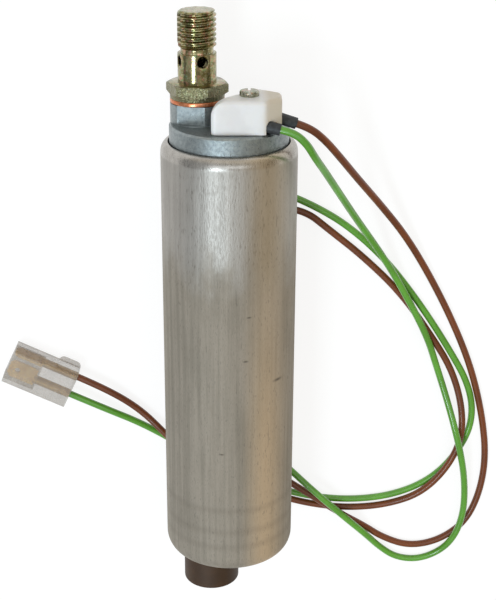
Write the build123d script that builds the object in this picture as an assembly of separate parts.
from build123d import *

# Electric in-line fuel pump, lying on its side on a table, on top of its own two leads.
# The aluminium can is rolled over at both ends and clamps one stack: the inlet cover, a gear
# pump, the motor's steel ring and the outlet cover. The outlet cover carries a hollow banjo
# stud with the check valve in it, and a nylon cap over the two terminals.
# Frame: millimetres, +X along the pump towards the outlet, +Z up, origin on the pump's
# axis at the middle of the can.

import math
import os

# Can
can_r = 21.5
can_length = 144.7
can_wall = 1.5
outlet_roll_r = 2.3
outlet_roll_x = 3.4
inlet_roll_r = 4.3
inlet_roll_x = 5.5

# Clearances
seat_gap = 0.15
slip_gap = 0.2
close_gap = 0.05
shaft_gap = 0.03
press_gap = 0.02
seat_film = 0.02

# Outlet cover
cover_skirt = 20.8
cover_skirt_wall = 3.0
cover_web = 6.8
cover_ledge = 1.3
disc_rise = 5.6
disc_gap = 0.5
disc_chamfer = 0.6
boss_y = 9.84
boss_z = -2.5
boss_r = 8.5
boss_height = 6.15
boss_flats = 14.5
boss_ledge = 0.4
boss_turn = 15.0
bearing_boss_wall = 1.6
bearing_boss_gap = 1.2
fuel_way_r = 4.0

# Banjo stud with the check valve
stud_r = 6.0
stud_shank = 16.1
stud_collar = 1.3
hex_flats = 17.0
hex_height = 3.5
hex_turn = 9.3
hex_chamfer = 0.6
neck_length = 9.1
relief_width = 1.4
relief_r = 5.05
thread_length = 11.5
thread_tip_r = 5.45
thread_tip = 0.9
stud_bore_r = 3.6
stud_roof = 11.4
cross_hole_r = 1.7
cross_hole_rise = 6.8
cross_hole_turn = 19.6
countersink_r = 2.2
countersink_depth = 0.5
washer_thickness = 1.5
valve_seat_length = 3.0
valve_seat_hole_r = 2.0
valve_ball_r = 2.75
valve_spring_r = 2.6
valve_spring_wire = 0.5
valve_spring_length = 13.0
valve_stop_length = 2.0
valve_stop_hole_r = 1.5

# Terminals and their nylon cap
green_post_y = -2.5
green_post_z = 11.2
brown_post_y = -10.5
brown_post_z = 4.5
post_r = 1.2
post_head_r = 1.9
post_head = 1.2
post_bush_r = 2.0
post_flange_r = 2.4
post_flange = 1.5
ring_r = 2.3
ring_thickness = 0.8
barrel_r = 1.2
barrel_stand_out = 1.4
cap_corners = [
    (5.5, 15.4), (-11.0, 15.4), (-16.0, 10.0), (-16.0, 3.0), (-8.7, -2.0), (5.5, 13.3),
]
cap_height = 10.5
cap_wall = 1.2
cap_corner_r = 1.4
cap_edge = 0.9
cap_shoulder_r = 5.0
screw_y = -6.1
screw_z = 7.35
screw_r = 1.5
screw_head_r = 3.0
screw_head = 1.6
screw_length = 18.0
screw_slot = 0.8
screw_post_r = 2.35

# Leads, their sleeves and the connector. A point of an exit is x, y and z in line with the
# sleeve, and a point of what lies beyond it is x, y and height over the table.
lead_r = 1.2
lead_gap = 0.75
sleeve_r = 1.8
green_sleeve_length = 8.8
brown_sleeve_length = 6.1
green_exit = [(79.5, -15.5, 13.85), (78.8, -19.4, 14.45)]
brown_exit = [(79.1, -20.5, 5.15), (77.6, -24.8, 4.85)]
green_laid = [
    (75.3, -23.4, 39.1), (70.0, -26.2, 36.0), (64.3, -29.5, 31.0), (55.5, -34.4, 24.2),
    (43.5, -41.2, 15.5), (30.5, -49.3, 8.0), (18.0, -56.9, 3.9), (-2.5, -68.0, 3.9),
    (-15.5, -72.5, 1.4), (-27.5, -76.6, 3.0), (-39.5, -80.2, 6.6), (-52.0, -83.4, 6.6),
    (-64.5, -85.4, 4.2), (-75.0, -85.4, 3.9), (-84.0, -83.0, 3.9), (-91.5, -78.6, 1.8),
    (-95.8, -70.5, 1.2), (-94.8, -61.8, 1.2), (-89.5, -55.2, 1.8), (-82.5, -49.7, 4.6),
    (-74.5, -42.0, 6.6), (-63.5, -30.3, 6.6), (-54.0, -19.0, 2.2), (-44.0, -7.0, 1.2),
    (-29.0, 3.5, 1.2), (-12.5, 13.0, 1.2), (5.0, 18.0, 1.2), (21.5, 16.5, 1.2), (35.0, 9.5, 1.2),
    (45.5, -2.5, 1.2), (48.5, -15.5, 1.2), (43.5, -27.5, 1.2), (36.0, -40.0, 1.2),
    (24.0, -53.0, 1.2), (9.0, -64.6, 1.2), (-8.0, -75.8, 1.2), (-24.5, -85.2, 1.2),
    (-39.0, -87.0, 1.2), (-52.0, -81.5, 1.2), (-62.0, -72.8, 1.2), (-68.0, -60.5, 1.2),
    (-70.2, -46.0, 1.2), (-69.2, -32.0, 1.2), (-66.3, -20.0, 1.2), (-61.0, -6.0, 1.2),
    (-53.5, 8.0, 1.2), (-46.0, 19.5, 1.2), (-38.7, 31.5, 1.2), (-31.17, 44.1, 4.5),
    (-25.35, 56.3, 4.5),
]
brown_laid = [
    (73.2, -29.7, 27.8), (66.4, -34.9, 23.8), (57.5, -41.2, 17.5), (46.0, -49.9, 10.0),
    (33.0, -59.5, 4.2), (17.0, -69.0, 1.2), (0.0, -77.8, 1.2), (-17.0, -85.0, 1.2),
    (-35.0, -90.0, 1.2), (-52.5, -92.7, 1.2), (-68.0, -91.3, 1.2), (-80.0, -86.7, 1.2),
    (-87.5, -77.7, 1.2), (-90.0, -66.8, 1.2), (-86.3, -56.8, 1.2), (-80.8, -49.2, 1.4),
    (-74.3, -40.3, 3.9), (-63.5, -25.0, 3.9), (-56.0, -12.0, 1.2), (-45.0, 3.5, 1.2),
    (-32.0, 13.5, 2.8), (-15.0, 19.0, 4.1), (1.5, 16.0, 4.1), (16.0, 9.0, 1.2), (28.5, 0.8, 1.2),
    (38.5, -8.0, 1.2), (42.4, -17.0, 1.2), (40.8, -26.0, 1.2), (34.6, -33.5, 1.2),
    (25.0, -45.3, 1.2), (11.5, -59.0, 1.2), (-5.0, -70.5, 1.2), (-17.5, -78.2, 1.2),
    (-31.5, -82.6, 2.4), (-44.0, -83.0, 3.9), (-56.0, -78.2, 3.9), (-66.0, -69.5, 3.9),
    (-71.8, -58.0, 1.8), (-73.6, -45.0, 1.2), (-72.5, -32.5, 1.2), (-69.5, -20.5, 1.2),
    (-64.5, -6.5, 1.2), (-58.2, 5.5, 1.3), (-51.3, 14.5, 3.9), (-41.5, 22.8, 3.9),
    (-32.5, 31.8, 2.2), (-23.57, 43.3, 4.5), (-18.85, 53.2, 4.5),
]
connector_turn = 64.5
connector_length = 23.4
connector_width = 13.0
connector_thickness = 9.0
connector_wall = 1.2
connector_floor = 11.0
connector_edge = 0.8
connector_shift = -0.9
latch_length = 8.0
latch_width = 5.5
latch_rise = 2.1
blade_width = 6.3
blade_thickness = 0.8
blade_length = 10.0
blade_root = 1.0
blade_hole_r = 0.9
green_blade_shift = -0.7
crimp_r = 1.5

# Inlet cover
inlet_cover_depth = 10.0
spigot_y = 6.19
spigot_r = 7.5
spigot_bore_r = 5.5
spigot_length = 14.0
spigot_bead_r = 7.7
spigot_bead = 2.0
inlet_pocket_r = 8.6
inlet_pocket_z = 2.6
inlet_pocket_depth = 5.4
dust_cap_r = 9.47
dust_cap_length = 15.7
dust_cap_edge = 0.8
strainer_thickness = 0.6
strainer_hole_r = 0.55
strainer_set_in = 1.0
seal_wire_r = 1.0
seal_groove_width = 2.6
seal_squeeze = 0.03
seal_set_in = 3.0
outlet_seal_set_in = 5.5

# Gear pump
suction_plate_thickness = 3.0
gear_length = 8.0
pressure_plate_thickness = 4.0
outer_lobes = 7
lobe_pitch_r = 11.0
lobe_r = 3.0
eccentricity = 1.15
outer_rotor_r = 13.0
gear_root_gap = 0.15
inner_rotor_bore_r = 4.0
key_width = 2.0
key_rise = 1.2
flank_steps = 14
kidney_r = 9.2
kidney_width = 2.6
kidney_sweep = 120.0
plate_screw_rim = 3.6
plate_screw_r = 1.25
plate_screw_head_r = 2.2
plate_screw_head = 2.0
plate_screw_grip = 5.0
relief_rim = 5.6
relief_hole_r = 1.2
relief_bore_r = 2.4
relief_bore_depth = 7.5
relief_ball_r = 2.0
relief_spring_r = 1.7
relief_spring_wire = 0.4
relief_channel_r = 1.0

# Motor
shaft_r = 2.5
shaft_end_gap = 0.5
bush_r = 4.0
bush_step = 0.5
front_boss_r = 6.6
front_boss_length = 6.0
motor_ring_wall = 2.0
magnet_thickness = 4.5
magnet_length = 54.0
magnet_sweep = 140.0
magnet_clip_thickness = 0.5
magnet_clip_length = 40.0
clip_play = 2.0
air_gap = 0.5
core_length = 44.0
core_start = 15.4
core_slots = 8
slot_r = 2.1
slot_rim = 4.2
slot_mouth = 1.6
coil_end = 8.5
coil_end_rim = 1.3
coil_eye_r = 5.5
commutator_length = 7.0
commutator_hub_r = 4.8
commutator_cut = 0.5
commutator_stand_off = 1.5
spacer_r = 4.5
thrust_washer_r = 5.0
thrust_washer = 0.8

# Brush gear
brush_width = 6.0
brush_height = 5.0
brush_length = 9.0
brush_rim = 0.5
brush_wall = 1.0
brush_tube_set_back = 2.5
brush_spring_r = 2.2
brush_spring_wire = 0.5
holder_thickness = 4.0
holder_set_in = 2.0
window_inner_r = 8.0
window_rim = 2.1
window_sweep = 70.0
holder_eye_r = 4.2
strap_thickness = 0.8
strap_width = 4.4

# Places along the axis
can_half = can_length / 2
can_bore_r = can_r - can_wall
part_r = can_bore_r - slip_gap
inlet_face_x = -can_half + can_wall + slip_gap
suction_plate_x = inlet_face_x + inlet_cover_depth
gear_x = suction_plate_x + suction_plate_thickness
pressure_plate_x = gear_x + gear_length
motor_ring_x = pressure_plate_x + pressure_plate_thickness
front_boss_x = motor_ring_x + front_boss_length
shoulder_x = can_half - outlet_roll_x - seat_gap
skirt_x = shoulder_x - cover_skirt
web_x = shoulder_x - cover_web
disc_x = can_half + disc_rise
boss_x = disc_x + boss_height
collar_x = boss_x + washer_thickness
hex_x = collar_x + stud_collar
neck_x = hex_x + hex_height
groove_x = neck_x + neck_length
thread_x = groove_x + relief_width
cross_hole_x = neck_x + cross_hole_rise
stud_end_x = thread_x + thread_length
shank_x = boss_x - stud_shank
bore_end_x = stud_end_x - stud_roof
cap_top_x = disc_x + cap_height
ring_x = disc_x + post_flange
magnet_r = part_r - motor_ring_wall
core_r = magnet_r - magnet_thickness - air_gap
slot_ring_r = core_r - slot_rim
coil_end_r = core_r - coil_end_rim
commutator_r = coil_end_r
brush_ring_r = commutator_r - brush_rim - brush_height / 2
core_x = front_boss_x + core_start
core_end_x = core_x + core_length
coil_start_x = core_x - coil_end
coil_end_x = core_end_x + coil_end
commutator_x = coil_end_x + commutator_stand_off
brush_face_x = commutator_x + commutator_length
brush_end_x = brush_face_x + close_gap + brush_length
holder_x = skirt_x + holder_set_in
strap_x = holder_x + holder_thickness
rear_boss_x = strap_x + strap_thickness + bearing_boss_gap
tube_x = brush_face_x + brush_tube_set_back
spigot_end_x = inlet_face_x - spigot_length
inlet_seal_x = suction_plate_x - seal_set_in
outlet_seal_x = shoulder_x - outlet_seal_set_in
plate_screw_ring_r = part_r - plate_screw_rim
relief_y = relief_rim - part_r
holder_r = part_r - cover_skirt_wall - slip_gap
table_z = -can_r - lead_gap - 2 * lead_r
green_route = (green_exit, green_laid)
brown_route = (brown_exit, brown_laid)


def disc(radius, y=0.0, z=0.0):
    """A round sketch at a place across the axis."""
    return Pos(y, z) * Circle(radius)


def along(sketch, start, length):
    """Extrude a sketch drawn across the axis, from a place on the axis towards the outlet."""
    return extrude(Plane.YZ.offset(start) * sketch, length)


def rod(radius, start, end, y=0.0, z=0.0):
    """A round bar parallel to the axis, between two places on it."""
    return along(disc(radius, y, z), start, end - start)


def tube(outer_r, inner_r, start, end, y=0.0, z=0.0):
    """A round tube parallel to the axis, between two places on it."""
    return along(disc(outer_r, y, z) - disc(inner_r, y, z), start, end - start)


def turned(points):
    """A solid turned about the axis from its outline of (x, radius) points."""
    return revolve(make_face(Polyline(*points, close=True)), Axis.X)


def round_point(radius, angle):
    """The point at an angle in degrees on a circle about the sketch's centre."""
    turn = math.radians(angle)
    return (radius * math.cos(turn), radius * math.sin(turn))


def arc_band(inner_r, outer_r, middle, sweep, y=0.0, z=0.0):
    """A sketch of a curved band with square ends, about a centre across the axis."""
    low = middle - sweep / 2
    high = middle + sweep / 2
    inner = [round_point(inner_r, angle) for angle in (low, middle, high)]
    outer = [round_point(outer_r, angle) for angle in (high, middle, low)]
    edges = [
        ThreePointArc(*inner),
        Line(inner[2], outer[0]),
        ThreePointArc(*outer),
        Line(outer[2], inner[0]),
    ]
    return Pos(y, z) * make_face(edges)


def rounded_slot(start, end, width):
    """A sketch of a strip with round ends, centred on two points."""
    run = Vector(*end) - Vector(*start)
    middle = (Vector(*start) + Vector(*end)) / 2
    turn = math.degrees(math.atan2(run.Y, run.X))
    return Pos(middle.X, middle.Y) * Rot(0, 0, turn) * SlotCenterToCenter(run.length, width)


def tube_between(start, end, outer_r, inner_r=0.0):
    """A straight tube, or a bar, between two points in space."""
    sketch = Circle(outer_r)
    if inner_r > 0:
        sketch -= Circle(inner_r)
    return extrude(Plane(start, z_dir=end - start) * sketch, (end - start).length)


# The can and its seals


def rolled_edge(end_x, side, roll_x, roll_r, offset):
    """A quarter ellipse between the straight wall and the lip, set in by an offset."""
    centre = (end_x - side * roll_x, can_r - roll_r)
    start = 0 if side > 0 else 90
    return EllipticalCenterArc(centre, roll_x - offset, roll_r - offset, start, arc_size=90)


def outer_can():
    """The drawn can: a tube with both ends rolled over what they clamp."""
    outlet = rolled_edge(can_half, 1, outlet_roll_x, outlet_roll_r, 0)
    inlet = rolled_edge(-can_half, -1, inlet_roll_x, inlet_roll_r, 0)
    outlet_inside = rolled_edge(can_half, 1, outlet_roll_x, outlet_roll_r, can_wall)
    inlet_inside = rolled_edge(-can_half, -1, inlet_roll_x, inlet_roll_r, can_wall)
    edges = [
        outlet,
        Line(outlet @ 1, inlet @ 0),
        inlet,
        Line(inlet @ 1, inlet_inside @ 1),
        inlet_inside,
        Line(inlet_inside @ 0, outlet_inside @ 1),
        outlet_inside,
        Line(outlet_inside @ 0, outlet @ 0),
    ]
    return revolve(make_face(edges), Axis.X)


def seal_groove(middle_x):
    """The square groove that a cover's sealing ring sits in."""
    floor_r = can_bore_r - 2 * (seal_wire_r + seal_squeeze)
    start = middle_x - seal_groove_width / 2
    return tube(can_r, floor_r, start, start + seal_groove_width)


def seal_ring(middle_x):
    """A round-section sealing ring between a cover and the can."""
    middle_r = can_bore_r - seal_squeeze - seal_wire_r
    return Pos(middle_x, 0, 0) * Rot(0, 90, 0) * Torus(middle_r, seal_wire_r)


# The outlet cover and the banjo stud


def post_places():
    """Where the two terminal posts stand across the axis."""
    return [(green_post_y, green_post_z), (brown_post_y, brown_post_z)]


def boss_sketch():
    """The outlet boss, a round with two wrench flats."""
    flats = Rot(0, 0, -boss_turn) * Rectangle(4 * boss_r, boss_flats)
    return Pos(boss_y, boss_z) * (Circle(boss_r) & flats)


def outlet_end_cover():
    """The die-cast cover at the outlet, with its skirt, disc, boss and rear bearing boss."""
    disc_r = can_r - outlet_roll_r - disc_gap
    holder_bore_r = part_r - cover_skirt_wall
    body = turned([
        (skirt_x, 0),
        (skirt_x, part_r),
        (shoulder_x, part_r),
        (shoulder_x, disc_r),
        (disc_x - disc_chamfer, disc_r),
        (disc_x, disc_r - disc_chamfer),
        (disc_x, 0),
    ])
    body -= rod(holder_bore_r, skirt_x, strap_x)
    body -= rod(holder_bore_r - cover_ledge, strap_x, web_x)
    body += rod(bush_r + bearing_boss_wall, rear_boss_x, web_x)
    body += rod(boss_r, disc_x, disc_x + boss_ledge, boss_y, boss_z)
    body += along(boss_sketch(), disc_x, boss_height)
    body -= rod(bush_r + press_gap, rear_boss_x, web_x)
    body -= rod(shaft_r + slip_gap, web_x, web_x + 2 * shaft_end_gap)
    body -= rod(stud_r + close_gap, shank_x - seat_gap, boss_x, boss_y, boss_z)
    body -= rod(fuel_way_r, web_x, shank_x, boss_y, boss_z)
    screw_hole_x = cap_top_x - screw_length - seat_gap
    body -= rod(screw_r + close_gap, screw_hole_x, disc_x, screw_y, screw_z)
    for y, z in post_places():
        body -= rod(post_bush_r + press_gap, web_x, disc_x, y, z)
    return body - seal_groove(outlet_seal_x)


def hex_block():
    """The stud's hexagon, with its corners turned off at both ends."""
    corner_r = hex_flats / math.sqrt(3)
    hexagon = Rot(0, 0, 90 - hex_turn) * RegularPolygon(corner_r, 6, rotation=30)
    block = along(Pos(boss_y, boss_z) * hexagon, hex_x, hex_height)
    turning = turned([
        (hex_x, 0),
        (hex_x, corner_r - 2 * hex_chamfer),
        (hex_x + hex_chamfer, corner_r),
        (neck_x - hex_chamfer, corner_r),
        (neck_x, corner_r - 2 * hex_chamfer),
        (neck_x, 0),
    ])
    return block & Pos(0, boss_y, boss_z) * turning


def check_valve_body():
    """The hollow banjo stud: shank, collar, hexagon, neck with cross holes, and thread."""
    body = Pos(0, boss_y, boss_z) * turned([
        (shank_x, 0),
        (shank_x, stud_r - hex_chamfer),
        (shank_x + hex_chamfer, stud_r),
        (collar_x, stud_r),
        (collar_x, boss_r),
        (hex_x, boss_r),
        (hex_x, stud_r),
        (groove_x, stud_r),
        (groove_x, relief_r),
        (thread_x, relief_r),
        (thread_x, stud_r),
        (stud_end_x - thread_tip, stud_r),
        (stud_end_x, thread_tip_r),
        (stud_end_x, 0),
    ])
    body += hex_block()
    body -= rod(stud_bore_r, shank_x, bore_end_x, boss_y, boss_z)
    cone = Cone(cross_hole_r, countersink_r, countersink_depth)
    drill = Cylinder(cross_hole_r, stud_r + countersink_depth)
    for quarter in range(4):
        turn = cross_hole_turn + 90 * quarter
        place = Pos(cross_hole_x, boss_y, boss_z) * Rot(turn, 0, 0)
        body -= place * Pos(0, 0, (stud_r + countersink_depth) / 2) * drill
        body -= place * Pos(0, 0, stud_r - countersink_depth / 2) * cone
    return body


def copper_washer():
    """The sealing washer between the boss and the stud's collar."""
    return tube(boss_r, stud_r + close_gap, boss_x, collar_x, boss_y, boss_z)


# The check valve inside the stud


def rest_on(hole_r, ball_r):
    """How far a ball's centre stays from the edge plane of the hole that it closes."""
    return math.sqrt(ball_r ** 2 - hole_r ** 2) + seat_film


def ball_grip(ball_r, spring_bore_r):
    """How far from the ball's centre a spring of that bore comes to rest on it."""
    return math.sqrt(ball_r ** 2 - (spring_bore_r - seat_film) ** 2)


valve_seat_end_x = shank_x + valve_seat_length
valve_ball_x = valve_seat_end_x + rest_on(valve_seat_hole_r, valve_ball_r)
valve_spring_bore_r = valve_spring_r - valve_spring_wire
valve_spring_x = valve_ball_x + ball_grip(valve_ball_r, valve_spring_bore_r)
valve_stop_x = valve_spring_x + valve_spring_length + seat_film


def check_valve_seat():
    """The ring that the check valve's ball closes on."""
    seat_r = stud_bore_r - press_gap
    return tube(seat_r, valve_seat_hole_r, shank_x, valve_seat_end_x, boss_y, boss_z)


def check_valve_ball():
    """The ball of the check valve, on its seat."""
    return Pos(valve_ball_x, boss_y, boss_z) * Sphere(valve_ball_r)


def check_valve_spring():
    """The check valve's spring, as the sleeve that its coils fill."""
    end = valve_spring_x + valve_spring_length
    return tube(valve_spring_r, valve_spring_bore_r, valve_spring_x, end, boss_y, boss_z)


def check_valve_stop():
    """The pierced plug that the check valve's spring pushes against."""
    stop_r = stud_bore_r - press_gap
    end = valve_stop_x + valve_stop_length
    return tube(stop_r, valve_stop_hole_r, valve_stop_x, end, boss_y, boss_z)


# Terminals, sleeves and the nylon cap


def post_bushes():
    """The insulating bushes of the two terminal posts."""
    group = []
    for y, z in post_places():
        stem = rod(post_bush_r, web_x, disc_x, y, z)
        flange = rod(post_flange_r, disc_x, ring_x, y, z)
        group.append(stem + flange - rod(post_r + press_gap, web_x, ring_x, y, z))
    return Compound(children=group)


def terminal_posts():
    """The riveted posts that carry the current through the outlet cover."""
    group = []
    head_x = ring_x + ring_thickness
    for y, z in post_places():
        stem = rod(post_r, strap_x + strap_thickness, head_x + post_head, y, z)
        group.append(stem + rod(post_head_r, head_x, head_x + post_head, y, z))
    return Compound(children=group)


def route_points(route):
    """A lead's route in space, from its exit and what lies over the table."""
    leaving, laid = route
    over_table = [Vector(x, y, table_z + height) for x, y, height in laid]
    return [Vector(*point) for point in leaving] + over_table


def sleeve_ends(route, length):
    """The inner end and the mouth of a sleeve, in line with the lead's first run."""
    mouth, after = route_points(route)[:2]
    return mouth + (mouth - after).normalized() * length, mouth


def ring_terminal(post, route, length):
    """A ring under the post's head, with the barrel that holds the lead in its sleeve."""
    y, z = post
    back, mouth = sleeve_ends(route, length)
    ring = tube(ring_r, post_r + press_gap, ring_x, ring_x + ring_thickness, y, z)
    heel = Vector(ring_x + ring_thickness / 2, y, z)
    toe = heel + Vector(0, back.Y - y, back.Z - z).normalized() * (ring_r - press_gap)
    inward = (back - mouth).normalized()
    start = back + inward * barrel_stand_out
    root = back + inward * barrel_stand_out / 2
    return ring + tube_between(toe, root, ring_thickness / 2) + tube_between(start, mouth, barrel_r)


def lead_sleeve(route, length):
    """The shrink sleeve over the end of a lead."""
    back, mouth = sleeve_ends(route, length)
    return tube_between(back, mouth, sleeve_r, barrel_r + press_gap)


def sleeve_notch(route, length):
    """The notch in the cap's rim that a sleeve lies in."""
    back, mouth = sleeve_ends(route, length)
    start = back + (back - mouth).normalized() * barrel_stand_out
    half_width = sleeve_r + close_gap
    depth = start.X - disc_x + half_width
    sketch = Circle(half_width) + Pos(-depth / 2, 0) * Rectangle(depth, 2 * half_width)
    place = Plane(start, x_dir=(1, 0, 0), z_dir=mouth - start)
    return extrude(place * sketch, (mouth - start).length)


def cap_side(inset):
    """The cap's outline seen from above the lying pump, with its big round shoulder."""
    left_y = cap_corners[0][0] - inset
    right_y = cap_corners[2][0] + inset
    top = cap_top_x - inset
    turn_r = cap_shoulder_r - inset
    edges = [
        Line((left_y, disc_x), (left_y, top - turn_r)),
        CenterArc((left_y - turn_r, top - turn_r), turn_r, 0, 90),
        Line((left_y - turn_r, top), (right_y, top)),
        Line((right_y, top), (right_y, disc_x)),
        Line((right_y, disc_x), (left_y, disc_x)),
    ]
    above = Plane((0, 0, can_r), x_dir=(0, 1, 0), z_dir=(0, 0, -1))
    return extrude(above * make_face(edges), 2 * can_r)


def terminal_cap():
    """The nylon cap over the terminals: a hollow shell with a round shoulder and a screw post."""
    plan = Polygon(*cap_corners, align=None)
    rounded = fillet(plan.vertices(), cap_corner_r)
    top = extrude(Plane.YZ.offset(cap_top_x - cap_edge) * rounded, cap_edge, taper=45)
    outside = (along(rounded, disc_x, cap_height - cap_edge) + top) & cap_side(0)
    inside = along(offset(rounded, -cap_wall), disc_x, cap_height - cap_wall) & cap_side(cap_wall)
    post = rod(screw_post_r, disc_x, cap_top_x - cap_wall, screw_y, screw_z)
    shell = outside - inside + post
    shell -= rod(screw_r + close_gap, disc_x, cap_top_x, screw_y, screw_z)
    for route, length in ((green_route, green_sleeve_length), (brown_route, brown_sleeve_length)):
        shell -= sleeve_notch(route, length)
    return shell


def terminal_cap_screw():
    """The slotted pan-head screw that holds the nylon cap down."""
    head_end = cap_top_x + screw_head
    head = rod(screw_head_r, cap_top_x, head_end, screw_y, screw_z)
    rim = head.edges().filter_by_position(Axis.X, head_end - close_gap, head_end + close_gap)
    screw = fillet(rim, screw_head / 3)
    screw += rod(screw_r, cap_top_x - screw_length, cap_top_x, screw_y, screw_z)
    slot = Pos(screw_y, screw_z) * Rectangle(screw_slot, 4 * screw_head_r)
    return screw - along(slot, head_end - screw_slot, screw_head)


# The leads and their connector


def route_radii(points):
    """The radius at each corner: 0.45 of the shorter run over the tangent of half the turn."""
    radii = []
    for before, corner, after in zip(points, points[1:], points[2:]):
        arrive = corner - before
        leave = after - corner
        half_turn = math.radians(arrive.get_angle(leave)) / 2
        radii.append(0.45 * min(arrive.length, leave.length) / math.tan(half_turn))
    return radii


def lead(name, route):
    """A lead as a round tube along straight runs joined by tangent arcs."""
    points = route_points(route)
    radii = route_radii(points)
    path = FilletPolyline(*points, radius=radii)
    body = sweep(Plane(points[0], z_dir=points[1] - points[0]) * Circle(lead_r), path)
    share = body.volume / (math.pi * lead_r ** 2 * path.length)
    print(name, "length", round(path.length, 1), "volume share", round(share, 4))
    print(name, "radii", [round(radius, 1) for radius in radii])
    return body


def connector_place():
    """The connector's own place: +X towards its mouth, its rear face at the leads' ends."""
    green_end = route_points(green_route)[-1]
    brown_end = route_points(brown_route)[-1]
    middle = (green_end + brown_end) / 2
    turn = Rot(0, 0, connector_turn)
    return Pos(middle.X, middle.Y, table_z + connector_thickness / 2) * turn


def connector_side(route):
    """How far a lead enters to the left of the connector's middle line."""
    end = route_points(route)[-1]
    return (connector_place().inverse() * Pos(end.X, end.Y, end.Z)).position.Y


def block(length, width, height, x=0.0, y=0.0):
    """A block that starts at x, centred across it and in height."""
    return Pos(x + length / 2, y, 0) * Box(length, width, height)


def connector_housing():
    """The moulded two-way housing, open at its mouth, with a latch bump at its rear edge."""
    shell = fillet(
        block(connector_length, connector_width, connector_thickness, y=-connector_shift)
        .edges().filter_by(Axis.X), connector_edge)
    latch_y = -connector_shift - connector_width / 2 - latch_rise / 2
    bump = block(latch_length, latch_rise, latch_width, y=latch_y)
    outer = bump.faces().sort_by(Axis.Y)[0].edges().filter_by(Axis.Z)
    shell += fillet(outer, 0.9 * latch_rise)
    inside = block(
        connector_floor, connector_width - 2 * connector_wall,
        connector_thickness - 2 * connector_wall,
        x=connector_length - connector_floor, y=-connector_shift)
    shell -= inside
    for route in (green_route, brown_route):
        channel = Rot(0, 90, 0) * Cylinder(crimp_r + close_gap, 2 * connector_length)
        depth = connector_length - connector_floor + blade_root + slip_gap
        keep = block(depth, connector_width, connector_thickness)
        shell -= Pos(0, connector_side(route), 0) * (channel & keep)
    return connector_place() * shell


def blade_terminal(route, shift, turn):
    """A tab terminal: the crimp round the lead's end and a flat blade with a hole."""
    crimp_length = connector_length - connector_floor + blade_root
    side = connector_side(route)
    crimp = Pos(crimp_length / 2, side, 0) * Rot(0, 90, 0) * Cylinder(crimp_r, crimp_length)
    blade = block(blade_length, blade_width, blade_thickness)
    blade -= Pos(blade_length - blade_width / 2, 0, 0) * Cylinder(blade_hole_r, blade_width)
    tip = blade.faces().sort_by(Axis.X)[-1].edges().filter_by(Axis.Z)
    blade = chamfer(tip, blade_width / 5)
    place = Pos(crimp_length - blade_root / 2, side + shift, 0) * Rot(turn, 0, 0)
    return connector_place() * (crimp + place * blade)


# The inlet


def inlet_edge():
    """The cover's outline round its rim, which follows the inside of the rolled can."""
    return rolled_edge(-can_half, -1, inlet_roll_x, inlet_roll_r, can_wall + slip_gap)


def kidney(middle, spare=0.0):
    """The sketch of a port over the gear pockets on one side of the rotors."""
    inner_r = kidney_r - kidney_width / 2 - spare
    return arc_band(inner_r, inner_r + kidney_width + 2 * spare, middle, kidney_sweep, eccentricity)


def screw_places():
    """Where the gear pump's screws stand."""
    return [round_point(plate_screw_ring_r, 90 + 120 * index) for index in range(3)]


def inlet_cover():
    """The cover at the inlet: its disc, the off-centre spigot and the relief valve's bore."""
    rim = inlet_edge()
    edges = [
        rim,
        Line(rim @ 1, (inlet_face_x, 0)),
        Line((inlet_face_x, 0), (suction_plate_x, 0)),
        Line((suction_plate_x, 0), (suction_plate_x, part_r)),
        Line((suction_plate_x, part_r), rim @ 0),
    ]
    body = revolve(make_face(edges), Axis.X)
    body += rod(spigot_r, spigot_end_x, inlet_face_x, spigot_y)
    body += rod(spigot_bead_r, spigot_end_x, spigot_end_x + spigot_bead, spigot_y)
    pocket_x = suction_plate_x - inlet_pocket_depth
    body -= rod(spigot_bore_r, spigot_end_x, pocket_x, spigot_y)
    body -= rod(inlet_pocket_r, pocket_x, suction_plate_x, spigot_y, inlet_pocket_z)
    body -= along(kidney(90), pocket_x, inlet_pocket_depth)
    body -= rod(relief_bore_r, suction_plate_x - relief_bore_depth, suction_plate_x, relief_y)
    channel_place = Pos(suction_plate_x - relief_bore_depth / 2, relief_y / 2, 0)
    body -= channel_place * Rot(90, 0, 0) * Cylinder(relief_channel_r, -relief_y)
    for y, z in screw_places():
        grip_x = suction_plate_x - plate_screw_grip - seat_gap
        body -= rod(plate_screw_r + close_gap, grip_x, suction_plate_x, y, z)
    return body - seal_groove(inlet_seal_x)


def inlet_dust_cap():
    """The plastic cap that closes the inlet spigot until the pump is fitted."""
    mouth_x = inlet_face_x - 2 * seat_gap
    end_x = mouth_x - dust_cap_length
    cup = rod(dust_cap_r, end_x, mouth_x, spigot_y)
    rim = cup.edges().filter_by_position(Axis.X, end_x - close_gap, end_x + close_gap)
    cup = fillet(rim, dust_cap_edge)
    return cup - rod(spigot_bead_r + 2 * close_gap, spigot_end_x - seat_gap, mouth_x, spigot_y)


def inlet_strainer():
    """The fine screen across the inlet spigot."""
    sheet = disc(spigot_bore_r - press_gap)
    pitch = spigot_bore_r / 3
    for ring in (1, 2):
        for index in range(6 * ring):
            y, z = round_point(pitch * ring, 360 * index / (6 * ring))
            sheet -= disc(strainer_hole_r, y, z)
    start = inlet_face_x - strainer_set_in
    return along(Pos(spigot_y, 0) * sheet, start, strainer_thickness)


relief_ball_x = suction_plate_x - rest_on(relief_hole_r, relief_ball_r)
relief_spring_bore_r = relief_spring_r - relief_spring_wire
relief_spring_end_x = relief_ball_x - ball_grip(relief_ball_r, relief_spring_bore_r)


def relief_valve_ball():
    """The ball that opens a way back to the inlet when the pressure is too high."""
    return Pos(relief_ball_x, relief_y, 0) * Sphere(relief_ball_r)


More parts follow.
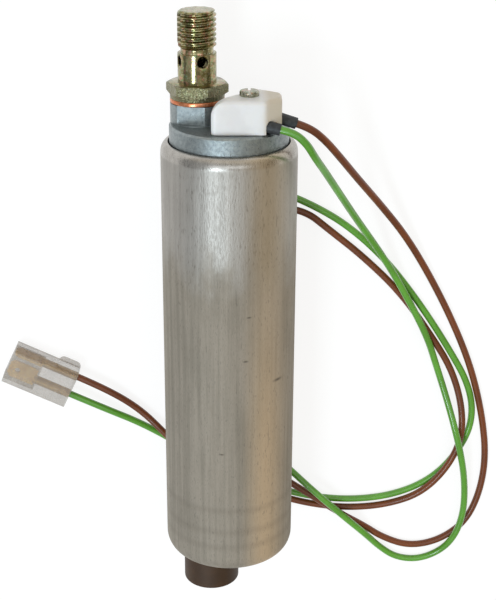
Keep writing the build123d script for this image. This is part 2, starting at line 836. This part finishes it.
def relief_valve_spring():
    """The relief valve's spring, as the sleeve that its coils fill."""
    start = suction_plate_x - relief_bore_depth + seat_film
    return tube(relief_spring_r, relief_spring_bore_r, start, relief_spring_end_x, relief_y)


# The gear pump


def plate_holes(screw_hole_r):
    """The sketch of the screw holes and the relief hole, shared by the pump's plates."""
    holes = disc(relief_hole_r, relief_y)
    for y, z in screw_places():
        holes += disc(screw_hole_r, y, z)
    return holes


def suction_plate():
    """The plate between the inlet cover and the rotors, with the suction port."""
    sketch = disc(part_r) - plate_holes(plate_screw_r + 2 * close_gap) - kidney(90)
    return along(sketch, suction_plate_x, suction_plate_thickness)


def pump_ring():
    """The ring that the outer rotor turns in, off the pump's axis."""
    sketch = disc(part_r) - plate_holes(plate_screw_r + 2 * close_gap)
    sketch -= disc(outer_rotor_r + close_gap, eccentricity)
    return along(sketch, gear_x, gear_length)


def pressure_plate():
    """The plate between the rotors and the motor, with the pressure port and front boss."""
    sketch = disc(part_r) - plate_holes(plate_screw_r + 2 * close_gap) - kidney(270)
    body = along(sketch, pressure_plate_x, pressure_plate_thickness)
    body += rod(front_boss_r, motor_ring_x, front_boss_x)
    body -= rod(shaft_r + slip_gap, pressure_plate_x, front_boss_x)
    body -= rod(bush_r + press_gap, pressure_plate_x + bush_step, front_boss_x)
    head_x = motor_ring_x - plate_screw_head
    for y, z in screw_places():
        body -= rod(plate_screw_head_r + 2 * close_gap, head_x, motor_ring_x, y, z)
    return body


def pump_screws():
    """The three screws that clamp the gear pump to the inlet cover."""
    group = []
    for y, z in screw_places():
        head = rod(plate_screw_head_r, motor_ring_x - plate_screw_head, motor_ring_x, y, z)
        stem = rod(plate_screw_r, suction_plate_x - plate_screw_grip, motor_ring_x, y, z)
        socket = Pos(y, z) * RegularPolygon(plate_screw_head_r / 2, 6)
        depth = plate_screw_head / 2
        group.append(head + stem - along(socket, motor_ring_x - depth, depth))
    return Compound(children=group)


def inner_rotor_point(turn):
    """A point of the inner rotor's flank: the path of a lobe's centre, set in by its radius."""
    swing = outer_lobes * turn
    path_y = lobe_pitch_r * math.cos(turn) + eccentricity * math.cos(swing)
    path_z = lobe_pitch_r * math.sin(turn) + eccentricity * math.sin(swing)
    out_y = lobe_pitch_r * math.cos(turn) + outer_lobes * eccentricity * math.cos(swing)
    out_z = lobe_pitch_r * math.sin(turn) + outer_lobes * eccentricity * math.sin(swing)
    inset = (lobe_r + close_gap) / math.hypot(out_y, out_z)
    return (path_y - inset * out_y, path_z - inset * out_z)


def inner_rotor():
    """The driven rotor, with one lobe fewer than the rotor round it."""
    steps = (outer_lobes - 1) * flank_steps
    flank = [inner_rotor_point(2 * math.pi * index / steps) for index in range(steps)]
    sketch = make_face(Spline(*flank, periodic=True)) - disc(inner_rotor_bore_r)
    sketch -= Rectangle(2 * (inner_rotor_bore_r + key_rise + close_gap), key_width + 2 * close_gap)
    return along(sketch, gear_x + close_gap, gear_length - 2 * close_gap)


def rotor_coupling():
    """The keyed sleeve that drives the inner rotor from the shaft."""
    sketch = disc(inner_rotor_bore_r - close_gap)
    sketch += Rectangle(2 * (inner_rotor_bore_r + key_rise), key_width)
    return along(sketch - disc(shaft_r), gear_x + slip_gap, gear_length - 2 * slip_gap)


def outer_rotor():
    """The rotor with round inward lobes, turning in the ring about its own axis."""
    reach = lobe_pitch_r + 2 * eccentricity - lobe_r + gear_root_gap
    sketch = disc(outer_rotor_r) - disc(reach)
    for index in range(outer_lobes):
        y, z = round_point(lobe_pitch_r, 360 * index / outer_lobes)
        sketch += disc(lobe_r, y, z) & disc(outer_rotor_r)
    body = along(sketch, gear_x + close_gap, gear_length - 2 * close_gap)
    return Pos(0, eccentricity, 0) * body


# The motor


def motor_ring():
    """The steel ring that carries the magnets and spaces the pump from the outlet cover."""
    return tube(part_r, magnet_r, motor_ring_x, skirt_x)


def magnets():
    """The two magnet shells, facing each other across the armature."""
    start = core_x + (core_length - magnet_length) / 2
    outer_r = magnet_r - press_gap
    group = []
    for middle in (90, 270):
        band = arc_band(magnet_r - magnet_thickness, outer_r, middle, magnet_sweep)
        group.append(along(band, start, magnet_length))
    return Compound(children=group)


def magnet_clips():
    """The two spring clips that press the magnets apart against the ring."""
    start = core_x + (core_length - magnet_clip_length) / 2
    outer_r = magnet_r - press_gap
    sweep = 180 - magnet_sweep - clip_play
    group = []
    for middle in (0, 180):
        band = arc_band(outer_r - magnet_clip_thickness, outer_r, middle, sweep)
        group.append(along(band, start, magnet_clip_length))
    return Compound(children=group)


def core_slots_sketch(spare):
    """The winding slots round the core, each smaller by a spare width."""
    slots = Sketch()
    for index in range(core_slots):
        y, z = round_point(slot_ring_r, 360 * index / core_slots)
        slots += disc(slot_r - spare, y, z)
    return slots


def armature_core():
    """The laminated core with its winding slots and their narrow mouths."""
    sketch = disc(core_r) - disc(shaft_r) - core_slots_sketch(0)
    for index in range(core_slots):
        mouth = Pos(slot_ring_r + slot_r, 0) * Rectangle(2 * slot_r, slot_mouth)
        sketch -= Rot(0, 0, 360 * index / core_slots) * mouth
    return along(sketch, core_x, core_length)


def armature_windings():
    """The varnished windings: a bar in each slot and a bundle of end turns at each end."""
    body = along(core_slots_sketch(2 * close_gap), coil_start_x, coil_end_x - coil_start_x)
    round_r = min(coil_end, coil_end_r - coil_eye_r) / 3
    bundle_r = (coil_end_r + coil_eye_r) / 2
    section = RectangleRounded(coil_end - slip_gap, coil_end_r - coil_eye_r, round_r)
    for middle in (coil_start_x + coil_end / 2, coil_end_x - coil_end / 2):
        body += revolve(Pos(middle, bundle_r) * section, Axis.X)
    return body


def armature_shaft():
    """The shaft, from the inner rotor to the rear bush."""
    return rod(shaft_r, gear_x + shaft_end_gap, web_x + shaft_end_gap)


def shaft_spacers():
    """The sleeve and thrust washers that place the armature along its shaft."""
    first_x = front_boss_x + seat_gap
    sleeve_x = first_x + thrust_washer
    last_x = rear_boss_x - seat_gap - thrust_washer
    washer = disc(thrust_washer_r) - disc(shaft_r)
    group = [
        along(washer, first_x, thrust_washer),
        tube(spacer_r, shaft_r, sleeve_x, coil_start_x),
        along(disc(spacer_r) - disc(shaft_r), last_x, thrust_washer),
    ]
    return Compound(children=group)


def commutator_segments():
    """The copper face segments that the brushes run on, cut apart by narrow slots."""
    sketch = disc(commutator_r) - disc(commutator_hub_r)
    for index in range(core_slots // 2):
        turn = 180 * (index + 0.5) / (core_slots // 2)
        sketch -= Rot(0, 0, turn) * Rectangle(3 * commutator_r, commutator_cut)
    return along(sketch, commutator_x, commutator_length)


def commutator_hub():
    """The moulded hub that carries the segments on the shaft."""
    hub_r = commutator_hub_r - press_gap
    return tube(hub_r, shaft_r, coil_end_x, brush_face_x - commutator_cut)


def bearing_bush(start, end):
    """A plain bush that the shaft turns in."""
    return tube(bush_r, shaft_r + shaft_gap, start, end)


# The brush gear


def brush(side):
    """A carbon brush on the commutator's face, above or below the shaft."""
    section = Pos(0, side * brush_ring_r) * Rectangle(brush_width, brush_height)
    return along(section, brush_face_x + close_gap, brush_length)


def brush_spring(side):
    """The spring behind a brush, as the sleeve that its coils fill."""
    bore_r = brush_spring_r - brush_spring_wire
    start = brush_end_x + seat_film
    return tube(brush_spring_r, bore_r, start, strap_x - seat_film, 0, side * brush_ring_r)


def brush_holder():
    """The moulded plate with a square guide for each brush, a shaft eye and fuel windows."""
    body = rod(holder_r, holder_x, strap_x)
    guide = 2 * (brush_wall + close_gap)
    for side in (1, -1):
        outside = Rectangle(brush_width + guide, brush_height + guide)
        body += along(Pos(0, side * brush_ring_r) * outside, tube_x, strap_x - tube_x)
    for side in (1, -1):
        pocket = Rectangle(brush_width + 2 * close_gap, brush_height + 2 * close_gap)
        body -= along(Pos(0, side * brush_ring_r) * pocket, tube_x, strap_x - tube_x)
    body -= rod(holder_eye_r, holder_x, strap_x)
    for middle in (0, 180):
        window = arc_band(window_inner_r, holder_r - window_rim, middle, window_sweep)
        body -= along(window, holder_x, holder_thickness)
    return body


def brush_straps():
    """The brass straps from each post to its brush, closing the spring's end of the guide."""
    group = []
    for side, place in ((1, post_places()[0]), (-1, post_places()[1])):
        strip = rounded_slot((0, side * brush_ring_r), place, strap_width)
        group.append(along(strip, strap_x, strap_thickness))
    return Compound(children=group)


nodes = {
    "outer_can": outer_can(),
    "outlet_end_cover": outlet_end_cover(),
    "outlet_cover_seal": seal_ring(outlet_seal_x),
    "check_valve_body": check_valve_body(),
    "copper_washer": copper_washer(),
    "check_valve_seat": check_valve_seat(),
    "check_valve_ball": check_valve_ball(),
    "check_valve_spring": check_valve_spring(),
    "check_valve_stop": check_valve_stop(),
    "post_bushes": post_bushes(),
    "terminal_posts": terminal_posts(),
    "green_ring_terminal": ring_terminal(post_places()[0], green_route, green_sleeve_length),
    "brown_ring_terminal": ring_terminal(post_places()[1], brown_route, brown_sleeve_length),
    "green_lead_sleeve": lead_sleeve(green_route, green_sleeve_length),
    "brown_lead_sleeve": lead_sleeve(brown_route, brown_sleeve_length),
    "terminal_cap": terminal_cap(),
    "terminal_cap_screw": terminal_cap_screw(),
    "green_lead": lead("green_lead", green_route),
    "brown_lead": lead("brown_lead", brown_route),
    "connector_housing": connector_housing(),
    "green_blade_terminal": blade_terminal(green_route, green_blade_shift, 0),
    "brown_blade_terminal": blade_terminal(brown_route, 0, 90),
    "inlet_cover": inlet_cover(),
    "inlet_cover_seal": seal_ring(inlet_seal_x),
    "inlet_dust_cap": inlet_dust_cap(),
    "inlet_strainer": inlet_strainer(),
    "relief_valve_ball": relief_valve_ball(),
    "relief_valve_spring": relief_valve_spring(),
    "suction_plate": suction_plate(),
    "pump_ring": pump_ring(),
    "pressure_plate": pressure_plate(),
    "pump_screws": pump_screws(),
    "inner_rotor": inner_rotor(),
    "rotor_coupling": rotor_coupling(),
    "outer_rotor": outer_rotor(),
    "motor_ring": motor_ring(),
    "magnets": magnets(),
    "magnet_clips": magnet_clips(),
    "armature_core": armature_core(),
    "armature_windings": armature_windings(),
    "armature_shaft": armature_shaft(),
    "shaft_spacers": shaft_spacers(),
    "commutator_segments": commutator_segments(),
    "commutator_hub": commutator_hub(),
    "front_bush": bearing_bush(pressure_plate_x + bush_step, front_boss_x),
    "rear_bush": bearing_bush(rear_boss_x, web_x),
    "brush_upper": brush(1),
    "brush_lower": brush(-1),
    "brush_spring_upper": brush_spring(1),
    "brush_spring_lower": brush_spring(-1),
    "brush_holder": brush_holder(),
    "brush_straps": brush_straps(),
}

os.makedirs("parts", exist_ok=True)
for node_name, shape in nodes.items():
    shape.label = node_name
    export_step(shape, f"parts/{node_name}.step")
